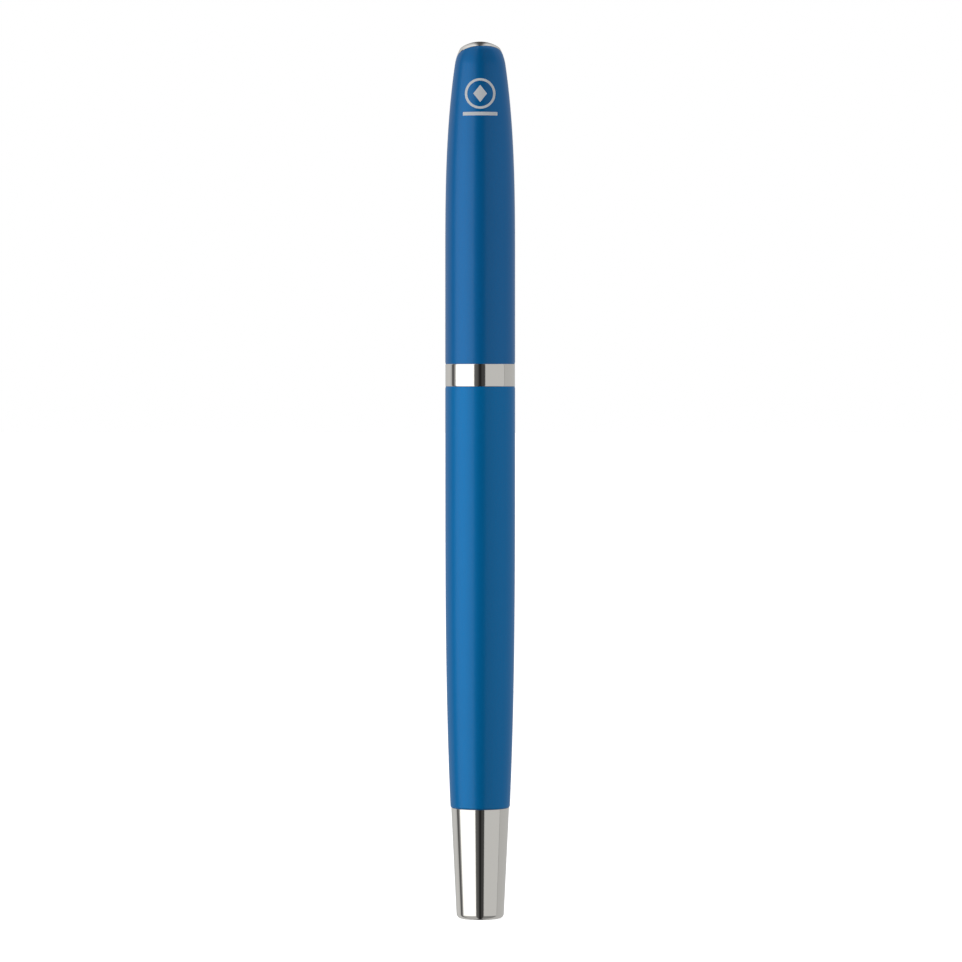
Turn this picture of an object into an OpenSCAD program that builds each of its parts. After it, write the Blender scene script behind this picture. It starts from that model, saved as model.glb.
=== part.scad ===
// Rollerball pen: a tapered barrel with a metal tail, a screw-in writing section with a refill,
// and a push-on cap with a domed top and a spring clip.
// The pen stands on the flat end of its tail and Z runs up its axis to the top of the cap.
// The front of the cap faces -Y, and the clip is at the back.

/* [Barrel] */
// Greatest outside diameter of the barrel and the cap
pen_d = 11; // [10.8:0.1:14]
// Length of the barrel tube, between the tail and the cap
barrel_len = 66.34; // [55:0.02:90]
// Length at the cap end of the barrel that is a plain cylinder
barrel_straight_len = 12.74; // [9:0.02:30]
// Outside diameter of the barrel where it meets the tail
barrel_rear_d = 9.37; // [9.2:0.01:11]
// Wall of the drawn barrel tube
barrel_wall = 0.6; // [0.4:0.05:0.65]
// Bevel on the outer edge at the tail end of the tube
edge_bevel = 0.2; // [0.1:0.05:0.3]
// Height of the fine lead-in at the mouths of the barrel and the cap, and on both edges of the band
lead_h = 0.3; // [0.1:0.05:0.5]
// Depth of that lead-in
lead_depth = 0.06; // [0.03:0.01:0.1]

/* [Tail] */
// Length of the metal tail that shows below the barrel
tail_len = 17.5; // [15:0.1:30]
// Outside diameter of the tail where it meets the barrel
tail_top_d = 9.13; // [8.9:0.01:9.2]
// Outside diameter of the tail at its end, before the corner is rounded
tail_end_d = 7.43; // [7:0.01:9]
// Radius of the rounded corner at the end of the tail
tail_corner_r = 0.85; // [0.3:0.05:1.5]
// Diameter of the spigot that plugs into the barrel
tail_spigot_d = 7.94; // [7.6:0.01:8.2]
// Length of that spigot
tail_spigot_len = 8; // [5:0.5:12]
// Thickness of the solid end of the tail, under the spring
tail_floor = 5; // [2:0.5:6]
// Gap round the refill in the bore of the tail
tail_play = 0.25; // [0.15:0.05:0.3]

/* [Cap] */
// Length of the whole cap, from the seam to the top of its dome
cap_len = 54.16; // [54:0.02:70]
// Length at the open end of the cap that is a plain cylinder
cap_straight_len = 19.06; // [10:0.02:25]
// Outside diameter of the cap where its shoulder begins
cap_end_d = 7.99; // [7.6:0.01:8.4]
// Height of the rounded end above the shoulder
cap_end_h = 3.7; // [3.4:0.1:5]
// Radius of the shoulder's curve
shoulder_bend_r = 8; // [7:0.5:10]
// Diameter of the edge between the shoulder and the shallow dome
dome_edge_d = 6.14; // [5.8:0.01:6.4]
// Distance from the top of the dome down to the slanted rim, on the axis
rim_drop = 2.1; // [1.9:0.01:2.3]
// Slope of the rim, in degrees, which is lowest at the clip
rim_slope = 23.8; // [20:0.1:26]
// Wall of the drawn cap tube
cap_wall = 0.6; // [0.4:0.05:0.65]
// Thickness of the closed end of the cap tube, below the rim on the axis
cap_end_wall = 4.2; // [3:0.1:5]
// Diameter of the plug under the dome
plug_d = 5.2; // [4.8:0.1:5.4]
// Distance from the top of the dome to the foot of that plug
plug_depth = 9.6; // [8:0.1:11]

/* [Centre band] */
// Height of the metal band at the mouth of the cap
band_h = 3.54; // [2.5:0.01:6]
// How far the band lies below the outside of the cap tube
band_step = 0.03; // [0.01:0.01:0.05]
// How far the lip at the foot of the band reaches in past its bore
band_lip = 0.15; // [0.1:0.05:0.2]
// Height of that lip
band_lip_h = 1.36; // [0.8:0.01:2]

/* [Inner cap] */
// Wall of the plastic sleeve inside the cap
sleeve_wall = 0.4; // [0.3:0.05:0.45]
// Outside diameter of the narrow part of the sleeve, around the tip
sleeve_nose_d = 8; // [7.8:0.05:8.1]
// Thickness of the wall that closes the sleeve
sleeve_end_wall = 1.4; // [1:0.1:2]
// How far the wide part of the sleeve reaches past the shoulder of the refill
sleeve_step = 2.4; // [1.5:0.1:4]
// Height of the snap ridge inside the sleeve
sleeve_ridge = 0.02; // [0.01:0.01:0.04]
// Height of that ridge's middle above the mouth of the sleeve
sleeve_ridge_rise = 0.8; // [0.5:0.1:1.2]
// Half the width of a snap ridge at its foot
ridge_half_w = 0.3; // [0.2:0.05:0.4]
// Diameter of the cap screw's shank
screw_d = 2.4; // [2:0.1:2.6]
// Length of the shank
screw_len = 5.5; // [4:0.5:6]
// Diameter of its head
screw_head_d = 4.4; // [3.8:0.1:5]
// Height of its head
screw_head_h = 1.4; // [1:0.1:1.8]

/* [Clip] */
// Turn of the clip from straight back towards -X, in degrees
clip_turn = 10; // [0:1:20]
// Thickness of the clip's spring strip
clip_t = 0.8; // [0.6:0.05:0.9]
// Width of the strip at the top of the cap
clip_top_w = 4.4; // [3.5:0.1:4.6]
// Width of the strip at its free end
clip_end_w = 3.2; // [2.5:0.1:4]
// Distance from the top of the dome down to the free end
clip_len = 41; // [36:0.5:45]
// Inside radius of the bend over the cap's shoulder
clip_bend_r = 1; // [0.8:0.1:1.2]
// Distance from the top of the dome down to the top face of the strip
clip_drop = 2.2; // [2.15:0.05:2.3]
// Distance from the axis to the inside of the strip at the bend
clip_bend_reach = 5; // [4.9:0.05:5.3]
// Gap between the cap and the straight lower part of the strip
clip_gap = 0.95; // [0.8:0.05:1.2]
// Length of the lower part that runs parallel to the cap
clip_parallel_len = 15; // [10:0.5:20]
// Gap between the cap and the bead on the clip
bead_gap = 0.1; // [0.05:0.05:0.2]
// Radius of that bead
bead_r = 0.8; // [0.6:0.05:0.85]
// Height of the bead's centre above the free end
bead_rise = 2.5; // [1.5:0.1:4]
// Distance from the axis to the inner end of the clip's tongue
tongue_start = 1.6; // [1.4:0.1:2]

/* [Writing section] */
// Length of the section, from the collar to its nose cone
section_len = 29.16; // [24:0.02:31]
// Height of the metal collar that seats on the barrel
collar_h = 1.2; // [0.8:0.1:2]
// Diameter of the section at the step to the nose cone
section_front_d = 6.7; // [6.6:0.05:6.9]
// Diameter of the section beside the shoulder of the refill
section_waist_d = 7.9; // [7.6:0.05:8.1]
// Number of shallow grip grooves
grip_grooves = 5; // [3:1:7]
// Distance between two grip grooves
groove_pitch = 2.2; // [1.6:0.1:2.6]
// Width of a grip groove
groove_w = 0.7; // [0.4:0.05:1]
// Depth of a grip groove
groove_depth = 0.14; // [0.08:0.02:0.2]
// Height of the snap ridge on the section
section_ridge = 0.08; // [0.04:0.01:0.09]
// Height of the snap ridge above the collar
ridge_rise = 2.1; // [1.5:0.1:3]
// Length of the nose cone
nose_len = 8.6; // [7.6:0.1:10]
// Outside diameter of the nose cone at its base
nose_base_d = 6.6; // [6.5:0.05:6.8]
// Outside diameter of the nose cone at its front
nose_front_d = 3.1; // [2.9:0.05:3.4]
// Length of the spigot inside the nose cone
nose_spigot_len = 3; // [2:0.1:3.5]
// Diameter of that spigot
nose_spigot_d = 5.2; // [4.8:0.1:5.4]

/* [Screw thread] */
// Distance between two turns of the thread
thread_pitch = 1; // [0.8:0.05:1.2]
// Height of the thread's ridge
thread_h = 0.4; // [0.3:0.05:0.4]
// Width of the ridge at its foot
thread_foot_w = 0.56; // [0.4:0.02:0.6]
// Width of the ridge at its crest
thread_crest_w = 0.2; // [0.1:0.02:0.24]
// Number of turns on the section
thread_turns = 4; // [3:1:5]
// Plain neck between the thread and the collar
thread_neck = 0.54; // [0.4:0.02:1]
// Wall of the threaded nipple under the thread
nipple_wall = 0.5; // [0.4:0.05:0.5]
// How far the nipple reaches into the section, past the collar
nipple_tail = 6; // [4:0.5:8]
// Length of the threaded bush in the barrel
bush_len = 10.84; // [9:0.02:12]

/* [Refill] */
// Outside diameter of the refill
refill_d = 6.1; // [4.8:0.1:6.2]
// Wall of the refill tube
refill_wall = 0.35; // [0.3:0.05:0.5]
// Length of the plug's head below the refill tube
refill_plug_head = 0.5; // [0.3:0.1:1]
// Length of the plug inside the refill tube
refill_plug_len = 2.6; // [2:0.1:4]
// Diameter of the air hole in the plug
vent_d = 0.8; // [0.4:0.1:1]
// Height of the flange on the refill's nose
flange_h = 1.2; // [1:0.1:2]
// Length of the nose's spigot inside the refill tube
refill_spigot_len = 2.5; // [2:0.1:4]
// Diameter of the nose in front of the flange
refill_nose_d = 3.8; // [3.4:0.1:4]
// Length of that part of the nose
refill_nose_len = 10; // [9:0.5:10.5]
// Diameter of the narrow front of the nose
refill_neck_d = 3.1; // [2.8:0.1:3.2]
// Length of the narrow front
refill_neck_len = 2.4; // [2:0.1:2.6]
// Diameter of the feed wick
wick_d = 1.1; // [0.8:0.1:1.4]
// Length of the wick inside the ink reservoir
wick_root = 7.5; // [5:0.5:12]
// Length of the wick inside the metal tip
wick_in_tip = 1.9; // [1:0.1:3]

/* [Writing tip] */
// Diameter of the metal tip's shank
tip_d = 2.3; // [2:0.1:2.4]
// Length of the shank inside the refill's nose
tip_root = 3.8; // [3:0.1:5]
// Length of the shank in front of the refill's nose
tip_shank = 4.2; // [4:0.1:5]
// Depth of the shank's end below the front of the nose cone
tip_recess = 0.4; // [0.2:0.1:0.8]
// Length of the tip's cone
tip_cone = 2.95; // [2.5:0.05:3.5]
// Diameter of the ink channel behind the ball
channel_d = 0.35; // [0.2:0.05:0.5]
// Diameter of the writing ball
ball_d = 0.7; // [0.5:0.05:1]
// How far the ball stands out of the cone
ball_out = 0.25; // [0.15:0.05:0.3]
// Wall of the lip that holds the ball
lip_wall = 0.05; // [0.03:0.01:0.1]

/* [Spring] */
// Length of the spring behind the refill
spring_len = 8.8; // [6:0.2:12]
// How far the coils lie inside the outside of the refill, on the radius
spring_inset = 0.2; // [0.1:0.05:0.4]
// Diameter of its wire
wire_d = 0.5; // [0.3:0.05:0.6]
// Number of turns, with a closed turn at each end
spring_turns = 8; // [6:1:10]

/* [Fits] */
// Gap all round a piece that is pressed or glued in
seat_gap = 0.03; // [0.01:0.01:0.04]
// Gap all round the refill where it slides
refill_play = 0.1; // [0.06:0.01:0.1]
// Gap between the two threads
thread_play = 0.1; // [0.08:0.01:0.1]
// Gap all round the section inside the cap
cap_play = 0.12; // [0.1:0.01:0.15]
// Gap above and below the clip's tongue in its slot
tongue_play = 0.15; // [0.12:0.01:0.18]
// Gap all round the writing ball in its socket
ball_play = 0.02; // [0.01:0.005:0.03]
// Gap between the spring and what it presses on
spring_play = 0.05; // [0.02:0.01:0.1]
// Gap between the end of a spigot and the floor of its hole
end_gap = 0.1; // [0.05:0.05:0.2]

/* [Hidden] */
$fn = 96;

// Steps that a long taper and a short round end are divided into
taper_steps = 14;
bend_steps = 6;
// Segments in one turn of a thread or a spring, and sides of the spring's wire
turn_steps = 24;
wire_sides = 8;
// Overshoot that keeps a cut clear of the face it opens, and a block larger than the pen is wide
cut = 0.5;
block = 24;

pen_r = pen_d / 2;
seam_z = tail_len + barrel_len;
barrel_straight_z = seam_z - barrel_straight_len;
barrel_bore_r = pen_r - barrel_wall;
tail_seat_r = tail_spigot_d / 2 + seat_gap;
tail_seat_top = tail_len + tail_spigot_len + cut;

cap_top_z = seam_z + cap_len;
cap_tube_z = seam_z + band_h;
cap_straight_z = seam_z + cap_straight_len;
shoulder_z = cap_top_z - cap_end_h;
rim_z = cap_top_z - rim_drop;
cap_bore_r = pen_r - cap_wall;
cavity_top = rim_z - cap_end_wall;
plug_foot_z = cap_top_z - plug_depth;

sleeve_r = cap_bore_r - seat_gap;
sleeve_bore_r = sleeve_r - sleeve_wall;
sleeve_z = seam_z + band_lip_h;
sleeve_floor_z = plug_foot_z - sleeve_end_wall;
sleeve_nose_bore_r = sleeve_nose_d / 2 - sleeve_wall;
screw_hole_r = screw_d / 2 + seat_gap;

collar_z = seam_z + collar_h;
section_front_z = seam_z + section_len;
nose_cone_top = section_front_z + nose_len;
section_rear_r = sleeve_bore_r - cap_play;
collar_r = cap_bore_r - band_lip - cap_play;
section_bore_r = refill_d / 2 + refill_play;
nipple_r = section_bore_r + nipple_wall;
thread_r = nipple_r + thread_h;
thread_z = seam_z - thread_neck - thread_turns * thread_pitch;
nipple_foot_z = thread_z - thread_pitch;
nipple_top_z = collar_z + nipple_tail;
bush_r = barrel_bore_r - seat_gap;
bush_z = seam_z - bush_len;
bush_relief_z = nipple_foot_z - thread_pitch / 2;

refill_r = refill_d / 2;
tip_shank_top = nose_cone_top - tip_recess;
nose_front_z = tip_shank_top - tip_shank;
refill_stop_z = nose_front_z - refill_neck_len - refill_nose_len;
refill_bore_r = refill_r - refill_wall;
refill_rear_z = tail_floor + spring_len + 2 * spring_play;
refill_tube_z = refill_rear_z + refill_plug_head;
refill_tube_top = refill_stop_z - flange_h;
reservoir_z = refill_tube_z + refill_plug_len + end_gap;
reservoir_top = refill_tube_top - refill_spigot_len - end_gap;
tip_rear_z = nose_front_z - tip_root;
tip_front_z = tip_shank_top + tip_cone;
ball_z = tip_front_z + ball_out - ball_d / 2;
wick_z = reservoir_top - wick_root;
wick_top = tip_rear_z + wick_in_tip;

tongue_top_z = cap_top_z - clip_drop;
tongue_z = tongue_top_z - clip_t;
clip_foot_z = cap_top_z - clip_len;
clip_lower_reach = pen_r + clip_gap;

// Radius at height z of a tube that is plain at z_plain and narrows along a cubic to end_r at z_end
function taper_r(end_r, z, z_plain, z_end) =
    pen_r - (pen_r - end_r) * pow(max(0, (z - z_plain) / (z_end - z_plain)), 3);

// Points of that taper, moved in by a wall, from one height to another
function taper_points(end_r, wall, z_plain, z_end, z_from, z_to) =
    [for (i = [0:taper_steps])
        let (z = z_from + (z_to - z_from) * i / taper_steps)
        [taper_r(end_r, z, z_plain, z_end) - wall, z]];

// Points of an arc about a centre, between two angles
function arc(centre, r, from, to, steps) =
    [for (i = [0:steps])
        let (a = from + (to - from) * i / steps)
        centre + r * [cos(a), sin(a)]];

// The shoulder's curve runs on from the slope of the taper, and the dome joins it to the axis
shoulder_slope = atan(3 * (pen_r - cap_end_d / 2) / (shoulder_z - cap_straight_z));
shoulder_centre = [cap_end_d / 2 - shoulder_bend_r * cos(shoulder_slope),
                   shoulder_z - shoulder_bend_r * sin(shoulder_slope)];
dome_edge_angle = acos((dome_edge_d / 2 - shoulder_centre.x) / shoulder_bend_r);
dome_edge_z = shoulder_centre.y + shoulder_bend_r * sin(dome_edge_angle);
dome_h = cap_top_z - dome_edge_z;
dome_r = (pow(dome_edge_d / 2, 2) + pow(dome_h, 2)) / (2 * dome_h);
dome_centre = [0, cap_top_z - dome_r];
dome_start_angle = acos(dome_edge_d / 2 / dome_r);

// Outside of the whole cap above its band, as a solid
module cap_outline() {
    rotate_extrude() polygon(concat(
        [[0, cap_tube_z], [pen_r - lead_depth, cap_tube_z], [pen_r, cap_tube_z + lead_h]],
        taper_points(cap_end_d / 2, 0, cap_straight_z, shoulder_z, cap_straight_z, shoulder_z),
        [for (i = [1:bend_steps])
            let (a = shoulder_slope + (dome_edge_angle - shoulder_slope) * i / bend_steps)
            shoulder_centre + shoulder_bend_r * [cos(a), sin(a)]],
        [for (i = [1:bend_steps - 1])
            let (a = dome_start_angle + (90 - dome_start_angle) * i / bend_steps)
            dome_centre + dome_r * [cos(a), sin(a)]],
        [[0, cap_top_z]]));
}

// Everything above the slanted rim
module above_rim() {
    translate([0, 0, rim_z]) rotate([0, 0, clip_turn]) rotate([-rim_slope, 0, 0])
        translate([-block / 2, -block / 2, 0]) cube([block, block, block]);
}

// The slot that the clip's tongue passes through
module clip_slot() {
    rotate([0, 0, clip_turn])
        translate([-clip_top_w / 2 - tongue_play, tongue_start - tongue_play, tongue_z - tongue_play])
            cube([clip_top_w + 2 * tongue_play, block, clip_t + 2 * tongue_play]);
}

// A solid of rings of points, each ring joined to the next and both ends closed
module swept_solid(rings) {
    sides = len(rings[0]);
    last = len(rings) - 1;
    points = [for (ring = rings) for (p = ring) p];
    walls = [for (i = [0:last - 1]) for (j = [0:sides - 1])
        let (a = i * sides + j,
             b = i * sides + (j + 1) % sides,
             c = b + sides,
             d = a + sides)
        each [[a, d, c], [a, c, b]]];
    first_end = [[for (j = [0:sides - 1]) j]];
    last_end = [[for (j = [sides - 1:-1:0]) last * sides + j]];
    polyhedron(points = points, faces = concat(walls, first_end, last_end));
}

// Half the width of the section's thread ridge at a radius, on its sloping flanks
function ridge_half(r) =
    (thread_crest_w + (thread_foot_w - thread_crest_w) * (thread_r - r) / thread_h) / 2;

// A right-handed helical ridge between two radii, with a gap added on both flanks
module thread_ridge(inner_r, outer_r, play, z, turns) {
    inner_w = ridge_half(inner_r) + play;
    outer_w = ridge_half(outer_r) + play;
    swept_solid([for (i = [0:turns * turn_steps])
        let (a = 360 * i / turn_steps,
             h = z + thread_pitch * i / turn_steps)
        [for (p = [[inner_r, -inner_w], [inner_r, inner_w], [outer_r, outer_w], [outer_r, -outer_w]])
            [p.x * cos(a), p.x * sin(a), h + p.y]]]);
}

module barrel_tube() {
    color("steelblue") rotate_extrude() polygon(concat(
        [[barrel_rear_d / 2 - edge_bevel, tail_len]],
        taper_points(barrel_rear_d / 2, 0, barrel_straight_z, tail_len,
                     tail_len + edge_bevel, barrel_straight_z),
        [[pen_r, seam_z - lead_h], [pen_r - lead_depth, seam_z], [barrel_bore_r, seam_z]],
        taper_points(barrel_rear_d / 2, barrel_wall, barrel_straight_z, tail_len,
                     barrel_straight_z, tail_seat_top),
        [[tail_seat_r, tail_seat_top], [tail_seat_r, tail_len]]));
}

module thread_bush() {
    color("goldenrod") difference() {
        translate([0, 0, bush_z]) cylinder(h = bush_len, r = bush_r);
        translate([0, 0, bush_z - cut]) cylinder(h = bush_len + 2 * cut, r = nipple_r + thread_play);
        translate([0, 0, bush_z - cut])
            cylinder(h = bush_relief_z - bush_z + cut, r = thread_r + 2 * thread_play);
        // The groove takes the ridge and the play round it, and runs out at the mouth
        thread_ridge(nipple_r - thread_play, thread_r + thread_play, thread_play,
                     thread_z - 2 * thread_pitch, thread_turns + 4);
    }
}

module tail_cone() {
    slope = (tail_top_d - tail_end_d) / 2 / tail_len;
    corner = [tail_end_d / 2 + tail_corner_r * (slope - norm([1, slope])), tail_corner_r];
    bore_r = refill_r + tail_play;
    color("silver") rotate_extrude() polygon(concat(
        [[0, 0]],
        arc(corner, tail_corner_r, -90, -atan(slope), bend_steps),
        [[tail_top_d / 2, tail_len], [tail_spigot_d / 2, tail_len],
         [tail_spigot_d / 2, tail_len + tail_spigot_len], [bore_r, tail_len + tail_spigot_len],
         [bore_r, tail_floor], [0, tail_floor]]));
}

module refill_spring() {
    wire_r = wire_d / 2;
    closed_rise = 1.1 * wire_d;
    coil_r = refill_r - spring_inset - wire_r;
    height = spring_len - wire_d;
    open_rise = (height - 2 * closed_rise) / (spring_turns - 2);
    color("gray") translate([0, 0, tail_floor + spring_play + wire_r])
        swept_solid([for (i = [0:spring_turns * turn_steps])
            let (t = i / turn_steps,
                 h = t < 1 ? closed_rise * t
                   : t > spring_turns - 1 ? height - closed_rise * (spring_turns - t)
                   : closed_rise + open_rise * (t - 1))
            [for (j = [0:wire_sides - 1])
                let (b = -360 * j / wire_sides,
                     r = coil_r + wire_r * cos(b))
                [r * cos(360 * t), r * sin(360 * t), h + wire_r * sin(b)]]]);
}

module refill_tube() {
    color("whitesmoke") difference() {
        translate([0, 0, refill_tube_z]) cylinder(h = refill_tube_top - refill_tube_z, r = refill_r);
        translate([0, 0, refill_tube_z - cut])
            cylinder(h = refill_tube_top - refill_tube_z + 2 * cut, r = refill_bore_r);
    }
}

module refill_plug() {
    color("dimgray") difference() {
        union() {
            translate([0, 0, refill_rear_z]) cylinder(h = refill_plug_head, r = refill_r);
            translate([0, 0, refill_tube_z]) cylinder(h = refill_plug_len, r = refill_bore_r - seat_gap);
        }
        translate([0, 0, refill_rear_z - cut])
            cylinder(h = refill_plug_head + refill_plug_len + 2 * cut, d = vent_d);
    }
}

module ink_reservoir() {
    color("midnightblue") difference() {
        translate([0, 0, reservoir_z])
            cylinder(h = reservoir_top - reservoir_z, r = refill_bore_r - seat_gap);
        translate([0, 0, wick_z - end_gap])
            cylinder(h = reservoir_top - wick_z + end_gap + cut, d = wick_d + 2 * seat_gap);
    }
}

module feed_wick() {
    color("navy") translate([0, 0, wick_z]) cylinder(h = wick_top - wick_z, d = wick_d);
}

module refill_nose() {
    color("black") difference() {
        rotate_extrude() polygon([
            [0, refill_tube_top - refill_spigot_len],
            [refill_bore_r - seat_gap, refill_tube_top - refill_spigot_len],
            [refill_bore_r - seat_gap, refill_tube_top], [refill_r, refill_tube_top],
            [refill_r, refill_stop_z], [refill_nose_d / 2, refill_stop_z],
            [refill_nose_d / 2, refill_stop_z + refill_nose_len],
            [refill_neck_d / 2, refill_stop_z + refill_nose_len],
            [refill_neck_d / 2, nose_front_z], [0, nose_front_z]]);
        translate([0, 0, refill_tube_top - refill_spigot_len - cut])
            cylinder(h = nose_front_z - refill_tube_top + refill_spigot_len + 2 * cut,
                     d = wick_d + 2 * seat_gap);
        translate([0, 0, tip_rear_z - end_gap])
            cylinder(h = tip_root + end_gap + cut, r = tip_d / 2 + seat_gap);
    }
}

module writing_tip() {
    lip_r = ball_d / 2 + ball_play + lip_wall;
    color("lightgray") difference() {
        union() {
            translate([0, 0, tip_rear_z]) cylinder(h = tip_shank_top - tip_rear_z, d = tip_d);
            translate([0, 0, tip_shank_top]) cylinder(h = tip_cone, r1 = tip_d / 2, r2 = lip_r);
        }
        translate([0, 0, tip_rear_z - cut])
            cylinder(h = wick_top - tip_rear_z + cut + end_gap, r = wick_d / 2 + seat_gap);
        translate([0, 0, tip_rear_z]) cylinder(h = ball_z - tip_rear_z, d = channel_d);
        translate([0, 0, ball_z]) sphere(r = ball_d / 2 + ball_play);
        translate([0, 0, ball_z]) cylinder(h = tip_cone, r = ball_d / 2 + ball_play);
    }
}

module tip_ball() {
    color("slategray") translate([0, 0, ball_z]) sphere(d = ball_d);
}

module section_thread() {
    color("goldenrod") difference() {
        union() {
            translate([0, 0, nipple_foot_z]) cylinder(h = nipple_top_z - nipple_foot_z, r = nipple_r);
            thread_ridge(nipple_r - nipple_wall / 2, thread_r, 0, thread_z, thread_turns);
        }
        translate([0, 0, nipple_foot_z - cut])
            cylinder(h = nipple_top_z - nipple_foot_z + 2 * cut, r = section_bore_r);
    }
}

module section_ring() {
    color("silver") difference() {
        translate([0, 0, seam_z]) cylinder(h = collar_h, r = collar_r);
        translate([0, 0, seam_z - cut]) cylinder(h = collar_h + 2 * cut, r = nipple_r + seat_gap);
    }
}

module section_body() {
    ridge_z = collar_z + ridge_rise;
    groove_z = section_front_z - (grip_grooves + 1) * groove_pitch;
    spigot_r = nose_spigot_d / 2;
    rear = [section_rear_r, ridge_z + ridge_half_w];
    waist = [section_waist_d / 2, refill_stop_z];
    front = [section_front_d / 2, section_front_z];
    color("#202022") difference() {
        rotate_extrude() polygon([
            [section_bore_r, collar_z], [section_rear_r, collar_z],
            [section_rear_r, ridge_z - ridge_half_w], [section_rear_r + section_ridge, ridge_z], rear,
            waist, front, [spigot_r, section_front_z], [spigot_r, section_front_z + nose_spigot_len],
            [refill_nose_d / 2 + refill_play, section_front_z + nose_spigot_len],
            [refill_nose_d / 2 + refill_play, refill_stop_z], [section_bore_r, refill_stop_z]]);
        translate([0, 0, collar_z - cut])
            cylinder(h = nipple_tail + cut + end_gap, r = nipple_r + seat_gap);
        // Each groove is a ring that cuts its own depth into the taper
        for (i = [0:grip_grooves - 1]) {
            z = groove_z + i * groove_pitch;
            from = z < waist.y ? rear : waist;
            to = z < waist.y ? waist : front;
            r = from.x + (to.x - from.x) * (z - from.y) / (to.y - from.y) - groove_depth;
            rotate_extrude() polygon([[r, z], [pen_r, z], [pen_r, z + groove_w], [r, z + groove_w]]);
        }
    }
}

module nose_cone() {
    base_z = section_front_z;
    spigot_bore_r = nose_spigot_d / 2 + seat_gap;
    neck_bore_r = refill_neck_d / 2 + refill_play + seat_gap;
    hole_r = tip_d / 2 + refill_play;
    spigot_top = base_z + nose_spigot_len + end_gap;
    neck_top = nose_front_z + end_gap;
    color("silver") rotate_extrude() polygon([
        [spigot_bore_r, base_z], [nose_base_d / 2, base_z], [nose_front_d / 2, nose_cone_top],
        [hole_r, nose_cone_top], [hole_r, neck_top], [neck_bore_r, neck_top],
        [neck_bore_r, spigot_top], [spigot_bore_r, spigot_top]]);
}

module cap_tube() {
    color("royalblue") difference() {
        cap_outline();
        above_rim();
        rotate_extrude() polygon(concat(
            [[0, cap_tube_z - cut], [cap_bore_r, cap_tube_z - cut]],
            taper_points(cap_end_d / 2, cap_wall, cap_straight_z, shoulder_z,
                         cap_straight_z, cavity_top),
            [[0, cavity_top]]));
        translate([0, 0, cavity_top - cut])
            cylinder(h = cap_top_z - cavity_top, r = plug_d / 2 + seat_gap);
        clip_slot();
    }
}

module cap_ring() {
    color("silver") rotate_extrude() polygon([
        [cap_bore_r - band_lip, seam_z], [pen_r - lead_depth, seam_z],
        [pen_r - band_step, seam_z + lead_h], [pen_r - band_step, cap_tube_z - lead_h],
        [pen_r - lead_depth, cap_tube_z], [cap_bore_r, cap_tube_z], [cap_bore_r, sleeve_z],
        [cap_bore_r - band_lip, sleeve_z]]);
}

module inner_cap() {
    ridge_z = sleeve_z + sleeve_ridge_rise;
    wide_top = refill_stop_z + sleeve_step;
    narrow_z = section_front_z + end_gap;
    color("#303236") difference() {
        rotate_extrude() polygon([
            [0, sleeve_z], [sleeve_r, sleeve_z], [sleeve_r, wide_top + sleeve_wall],
            [sleeve_nose_d / 2, narrow_z + sleeve_wall], [sleeve_nose_d / 2, plug_foot_z],
            [0, plug_foot_z]]);
        rotate_extrude() polygon([
            [0, sleeve_z - cut], [sleeve_bore_r, sleeve_z - cut],
            [sleeve_bore_r, ridge_z - ridge_half_w], [sleeve_bore_r - sleeve_ridge, ridge_z],
            [sleeve_bore_r, ridge_z + ridge_half_w], [sleeve_bore_r, wide_top],
            [sleeve_nose_bore_r, narrow_z],
            [sleeve_nose_bore_r, sleeve_floor_z], [0, sleeve_floor_z]]);
        translate([0, 0, sleeve_floor_z - cut])
            cylinder(h = sleeve_end_wall + 2 * cut, r = screw_hole_r);
    }
}

module cap_top() {
    color("silver") difference() {
        union() {
            intersection() {
                cap_outline();
                above_rim();
            }
            translate([0, 0, plug_foot_z]) cylinder(h = rim_z - plug_foot_z, d = plug_d);
        }
        clip_slot();
        translate([0, 0, plug_foot_z - cut])
            cylinder(h = screw_len - sleeve_end_wall + cut + end_gap, r = screw_hole_r);
    }
}

module cap_screw() {
    color("dimgray") union() {
        translate([0, 0, sleeve_floor_z]) cylinder(h = screw_len, d = screw_d);
        translate([0, 0, sleeve_floor_z - screw_head_h]) cylinder(h = screw_head_h, d = screw_head_d);
    }
}

module clip() {
    bend = [clip_bend_reach - clip_bend_r, tongue_z - clip_bend_r];
    straight_z = clip_foot_z + clip_parallel_len;
    outer_r = clip_bend_r + clip_t;
    color("silver") rotate([0, 0, clip_turn]) union() {
        intersection() {
            // The strip seen from the side: tongue, bend, sloping arm and parallel end
            translate([block / 2, 0, 0]) rotate([90, 0, -90]) mirror([1, 0, 0])
                linear_extrude(block) polygon(concat(
                    [[tongue_start, tongue_top_z]],
                    arc(bend, outer_r, 90, 0, bend_steps),
                    [[clip_lower_reach + clip_t, straight_z], [clip_lower_reach + clip_t, clip_foot_z],
                     [clip_lower_reach, clip_foot_z], [clip_lower_reach, straight_z]],
                    arc(bend, clip_bend_r, 0, 90, bend_steps),
                    [[tongue_start, tongue_z]]));
            // The strip seen from the back: it narrows towards its free end
            translate([0, block, 0]) rotate([90, 0, 0]) linear_extrude(2 * block) polygon([
                [-clip_end_w / 2, clip_foot_z], [clip_end_w / 2, clip_foot_z],
                [clip_top_w / 2, bend.y], [clip_top_w / 2, cap_top_z],
                [-clip_top_w / 2, cap_top_z], [-clip_top_w / 2, bend.y]]);
        }
        translate([0, pen_r + bead_gap + bead_r, clip_foot_z + bead_rise]) sphere(r = bead_r);
    }
}

barrel_tube();
thread_bush();
tail_cone();
refill_spring();
refill_tube();
refill_plug();
ink_reservoir();
feed_wick();
refill_nose();
writing_tip();
tip_ball();
section_thread();
section_ring();
section_body();
nose_cone();
cap_tube();
cap_ring();
inner_cap();
cap_top();
cap_screw();
clip();
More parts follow.
